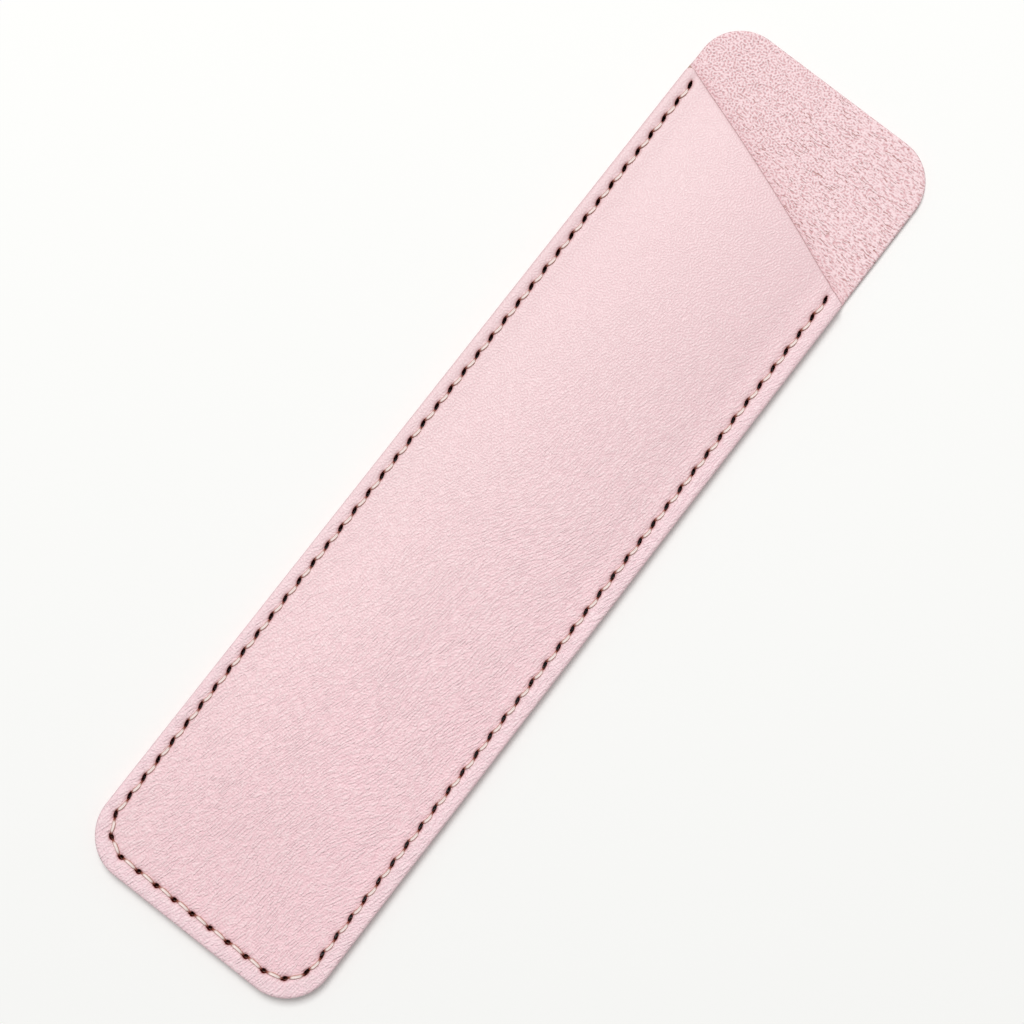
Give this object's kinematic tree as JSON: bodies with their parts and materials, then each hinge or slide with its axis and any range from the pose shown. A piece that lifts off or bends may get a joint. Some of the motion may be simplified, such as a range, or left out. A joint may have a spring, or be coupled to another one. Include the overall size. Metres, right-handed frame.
{
  "type": "pen sleeve",
  "caption": "Slim leather pen sleeve: front and back panels glued and stitched along the sides and bottom, open at a slanted mouth below a rounded tab.",
  "frame": {"origin": "middle of the length and the width, on the back face that the sleeve lies on", "axes": "+X across the width to the right, +Y along the length towards the mouth and the tab, +Z out of the front panel"},
  "size_m": [0.042, 0.163, 0.0037],
  "materials": {
    "back_leather": "pale pink grain on the back, matte suede nap on the inside and the tab",
    "front_leather": "pale pink fine grain, satin",
    "cement": "clear amber film",
    "thread": "waxed cream twist"
  },
  "bodies": {
    "root": {"back_panel": "back_leather", "front_panel": "front_leather", "seam_adhesive": "cement", "stitching_thread": "thread"}
  },
  "joints": []
}
